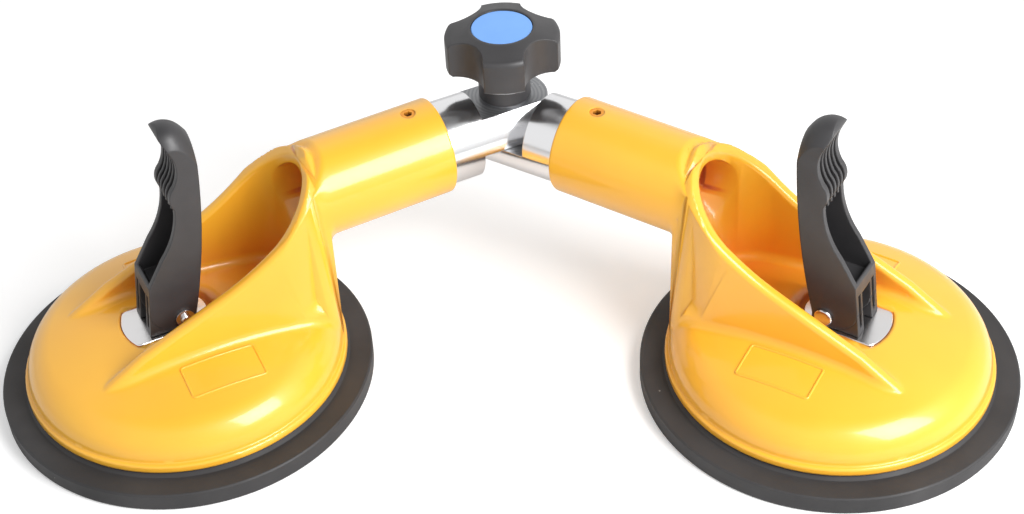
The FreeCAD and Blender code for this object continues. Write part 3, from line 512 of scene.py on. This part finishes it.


# ---------------------------------------------------------------- bar stubs
# Round aluminium bar, turned bright, with fine rings round it. The lap ends are milled
# flat and matt, with curved tool marks and light specks about the hinge; their dark grey is
# painted shade and painted dark reflection.

MILL_REACH = 0.0004
MILLED_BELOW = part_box("knob_washer")[0][2] + MILL_REACH
washer_middle = (Vector(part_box("knob_washer")[0]) + Vector(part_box("knob_washer")[1])) / 2
for hand in HEADS:
    bright, tree, shader = start_finish(
        f"{hand}_turned_bar", 0.0003, 1800.0, 0.000004, Metallic=1.0, Roughness=0.16)
    place = add(tree, "ShaderNodeTexCoord")
    arm_line = add(tree, "ShaderNodeMapping",
                   {"Vector": place.outputs["Object"],
                    "Rotation": (0, 0, -head_place[hand].to_euler().z)})
    ringed = add(tree, "ShaderNodeMapping",
                 {"Vector": arm_line.outputs["Vector"], "Scale": (2200.0, 12.0, 12.0)})
    rings = add(tree, "ShaderNodeTexNoise", {"Vector": ringed.outputs["Vector"], "Detail": 2.0})
    turned_rough = add(tree, "ShaderNodeMapRange",
                       {"Value": rings.outputs["Fac"], "To Min": 0.10, "To Max": 0.24})
    hinge_centred = add(tree, "ShaderNodeMapping",
                        {"Vector": place.outputs["Object"],
                         "Location": (-washer_middle.x, -washer_middle.y, 0)})
    sweep = add(tree, "ShaderNodeTexWave",
                {"Vector": hinge_centred.outputs["Vector"], "Scale": 260.0, "Distortion": 2.0},
                wave_type="RINGS", rings_direction="Z")
    facing = add(tree, "ShaderNodeNewGeometry")
    upright = add(tree, "ShaderNodeSeparateXYZ", {"Vector": facing.outputs["Normal"]})
    height = add(tree, "ShaderNodeSeparateXYZ", {"Vector": place.outputs["Object"]})
    level = add(tree, "ShaderNodeMath", {0: upright.outputs["Z"], 1: 0.97},
                operation="GREATER_THAN")
    below = add(tree, "ShaderNodeMath", {0: height.outputs["Z"], 1: MILLED_BELOW},
                operation="LESS_THAN")
    milled = add(tree, "ShaderNodeMath", {0: level.outputs[0], 1: below.outputs[0]},
                 operation="MULTIPLY")
    light_specks = add(tree, "ShaderNodeGroup", {"Scale": 900.0, "Size": 0.16, "Rarity": 0.9},
                node_tree=specks)
    # painted shade and painted dark reflection: the milled flats get a dark grey base, with rings
    # for tool marks
    milled_tone_and_shade = blend_colours(tree, sweep.outputs["Fac"], (0.30, 0.305, 0.315, 1),
                              (0.40, 0.405, 0.415, 1))
    milled_tone_and_shade = blend_colours(tree, light_specks.outputs["Mask"], milled_tone_and_shade, (0.62, 0.62, 0.62, 1))
    tree.links.new(
        blend_colours(tree, milled.outputs[0], (0.80, 0.80, 0.81, 1), milled_tone_and_shade),
        shader.inputs["Base Color"])
    finish = add(tree, "ShaderNodeMix",
                 {"Factor": milled.outputs[0], 2: turned_rough.outputs["Result"], 3: 0.5})
    tree.links.new(finish.outputs[0], shader.inputs["Roughness"])
    dress(bright, f"{hand}_stub")


# ---------------------------------------------------------------- cam levers
# Moulded in glass-filled black nylon: satin, finely grained, with slightly uneven gloss
# where the melt flowed. The fork's legs end in square toes that roll on the steel plate.

nylon, tree, shader = start_finish(
    "black_nylon", 0.0007, 1300.0, 0.00002, Specular_IOR_Level=0.5)
moulded = add(tree, "ShaderNodeGroup",
              {"Light": (0.050, 0.048, 0.050, 1), "Dark": (0.036, 0.035, 0.037, 1),
               "Scale": 60.0},
              node_tree=drifting_tone)
tree.links.new(moulded.outputs["Color"], shader.inputs["Base Color"])
place = add(tree, "ShaderNodeTexCoord")
flow = add(tree, "ShaderNodeTexNoise",
           {"Vector": place.outputs["Object"], "Scale": 90.0, "Detail": 3.0, "Distortion": 1.5})
gloss = add(tree, "ShaderNodeMapRange",
            {"Value": flow.outputs["Fac"], "From Min": 0.3, "From Max": 0.7, "To Min": 0.36,
             "To Max": 0.5})
tree.links.new(gloss.outputs["Result"], shader.inputs["Roughness"])
dress(nylon, *(f"{hand}_lever" for hand in HEADS))

PIN_HEIGHT = joint_at["left_lever_fold"][2]
FOOT_BELOW_PIN = 0.0037
TOE_FRONT = -0.0118
TOE_LEAN = math.radians(8)
TOE_ROLL = 0.008
TOE_OVERLAP = 0.00006
LEG_SIDES = (0.00312, 0.00748)
WINDOW_SIDES = (0.00415, 0.00585)
WINDOW_FOOT = PIN_HEIGHT - 0.0014

foot = PIN_HEIGHT - FOOT_BELOW_PIN
arc_run = TOE_ROLL * math.tan((math.pi / 2 - TOE_LEAN) / 2 + TOE_LEAN)
arc_centre = Vector((TOE_FRONT + arc_run, foot + TOE_ROLL))
corner = (TOE_FRONT, foot)
ARC_STEPS = 14
arc_start = math.pi - TOE_LEAN
arc_end = math.pi * 1.5
arc = []
for step in range(ARC_STEPS + 1):
    angle = arc_start + (arc_end - arc_start) * step / ARC_STEPS
    reach = TOE_ROLL - TOE_OVERLAP
    arc.append((arc_centre.x + reach * math.cos(angle), arc_centre.y + reach * math.sin(angle)))


def slab(mesh, outline, y_from, y_to, place):
    """A closed prism over an outline in x and z, between two values of y."""
    near = [mesh.verts.new(place @ Vector((x, y_from, z))) for x, z in outline]
    far = [mesh.verts.new(place @ Vector((x, y_to, z))) for x, z in outline]
    mesh.faces.new(near)
    mesh.faces.new(list(reversed(far)))
    for one in range(len(outline)):
        other = (one + 1) % len(outline)
        mesh.faces.new((near[other], near[one], far[one], far[other]))


toe = [corner] + list(reversed(arc))
lean_at_window = TOE_FRONT + math.tan(TOE_LEAN) * (WINDOW_FOOT - foot)
low_toe = [corner] + [point for point in reversed(arc) if point[1] < WINDOW_FOOT]
low_toe += [(low_toe[-1][0], WINDOW_FOOT), (lean_at_window, WINDOW_FOOT)]
for hand in HEADS:
    mesh = bmesh.new()
    for side in (-1, 1):
        slab(mesh, toe, side * LEG_SIDES[0], side * WINDOW_SIDES[0], head_place[hand])
        slab(mesh, low_toe, side * WINDOW_SIDES[0], side * WINDOW_SIDES[1], head_place[hand])
        slab(mesh, toe, side * WINDOW_SIDES[1], side * LEG_SIDES[1], head_place[hand])
    bmesh.ops.recalc_face_normals(mesh, faces=mesh.faces)
    toes = bpy.data.objects.new(f"{hand}_lever_toes", bpy.data.meshes.new(f"{hand}_lever_toes"))
    mesh.to_mesh(toes.data)
    mesh.free()
    toes.data.materials.append(nylon)
    bpy.context.scene.collection.objects.link(toes)
    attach(toes, f"{hand}_handle")


# ---------------------------------------------------------------- clamping knob
# A lobed knob moulded in the same nylon round the stud, with a smooth blue cap pressed in
# its top and a steel washer under it, coloured dark as painted shade from the knob above.

dress(nylon, "knob_body")

cap_blue, tree, shader = start_finish(
    "cap_blue", 0.0003, 900.0, 0.000006, Roughness=0.34)
smooth_blue = add(tree, "ShaderNodeGroup",
                  {"Light": (0.19, 0.42, 0.90, 1), "Dark": (0.17, 0.39, 0.86, 1),
                   "Scale": 90.0},
                  node_tree=drifting_tone)
tree.links.new(smooth_blue.outputs["Color"], shader.inputs["Base Color"])
dress(cap_blue, "knob_cap")

washer_steel, tree, shader = start_finish(
    "washer_steel", 0.0002, 1700.0, 0.00001, Metallic=1.0, Roughness=0.38)
# painted shade: the washer's steel is coloured dark, as it lies in the shade under the knob
washer_shade_tone = add(tree, "ShaderNodeGroup",
             {"Light": (0.34, 0.34, 0.35, 1), "Dark": (0.22, 0.22, 0.23, 1), "Scale": 260.0},
             node_tree=drifting_tone)
tree.links.new(washer_shade_tone.outputs["Color"], shader.inputs["Base Color"])
dress(washer_steel, "knob_washer")


# ---------------------------------------------------------------- floor, light, camera
# A pale sheet under the lifter, one tall soft box at the right front and a bright
# surround that is darker straight overhead. The camera looks down over the open angle.

bpy.ops.mesh.primitive_plane_add(size=12, location=(0, 0, 0))
floor = bpy.context.object
floor.name = "floor"
paper = bpy.data.materials.new("paper")
paper.use_nodes = True
tree = paper.node_tree
sheet = tree.nodes["Principled BSDF"]
sheet.inputs["Base Color"].default_value = (0.9, 0.9, 0.9, 1)
sheet.inputs["Roughness"].default_value = 0.7
sheet.inputs["Specular IOR Level"].default_value = 0.2
ray = add(tree, "ShaderNodeLightPath")
wash = add(tree, "ShaderNodeMath", {0: ray.outputs["Is Camera Ray"], 1: 0.3},
           operation="MULTIPLY")
tree.links.new(wash.outputs[0], sheet.inputs["Emission Strength"])
sheet.inputs["Emission Color"].default_value = (1, 1, 1, 1)
floor.data.materials.append(paper)


def soft_box(name, place, aim, size, power):
    """An oblong area light that faces a point."""
    light = bpy.data.lights.new(name, "AREA")
    light.shape = "RECTANGLE"
    light.size, light.size_y = size
    light.energy = power
    lamp = bpy.data.objects.new(name, light)
    lamp.location = place
    lamp.rotation_euler = (Vector(aim) - Vector(place)).to_track_quat("-Z", "Y").to_euler()
    bpy.context.scene.collection.objects.link(lamp)


soft_box("key", (0.50, -0.36, 0.52), (0.02, -0.03, 0.03), (0.42, 0.50), 7.5)

world = bpy.data.worlds.new("surround")
bpy.context.scene.world = world
world.use_nodes = True
sky = world.node_tree
glow = sky.nodes["Background"]
glow.inputs["Color"].default_value = (1, 1, 1, 1)
ray = add(sky, "ShaderNodeLightPath")
direction = add(sky, "ShaderNodeTexCoord")
upward = add(sky, "ShaderNodeSeparateXYZ", {"Vector": direction.outputs["Generated"]})
ceiling = add(sky, "ShaderNodeMapRange",
              {"Value": upward.outputs["Z"], "From Min": 0.78, "From Max": 0.97,
               "To Min": 1.0, "To Max": 0.12})
glossy_or_soft = add(sky, "ShaderNodeMix",
                     {"Factor": ray.outputs["Is Glossy Ray"], 2: 0.55,
                      3: ceiling.outputs["Result"]})
white_behind = add(sky, "ShaderNodeMix",
                   {"Factor": ray.outputs["Is Camera Ray"], 2: glossy_or_soft.outputs[0],
                    3: 1.0})
sky.links.new(white_behind.outputs[0], glow.inputs["Strength"])

view = bpy.data.cameras.new("view")
view.lens = 62.6
view.sensor_width = 36
view.clip_end = 20
view.shift_x = 0.0038
view.shift_y = -0.0026
camera = bpy.data.objects.new("camera", view)
turn = Matrix.Rotation(math.radians(4.37), 4, "Z")
pitch = Matrix.Rotation(math.radians(90 - 40.196), 4, "X")
roll = Matrix.Rotation(math.radians(-2.988), 4, "Z")
stand = Matrix.Translation((0.0348, joint_at["arm_swing"][1] - 0.4778, 0.4065))
camera.matrix_world = stand @ turn @ pitch @ roll
bpy.context.scene.collection.objects.link(camera)
bpy.context.scene.camera = camera
bpy.context.scene.view_settings.view_transform = "Standard"
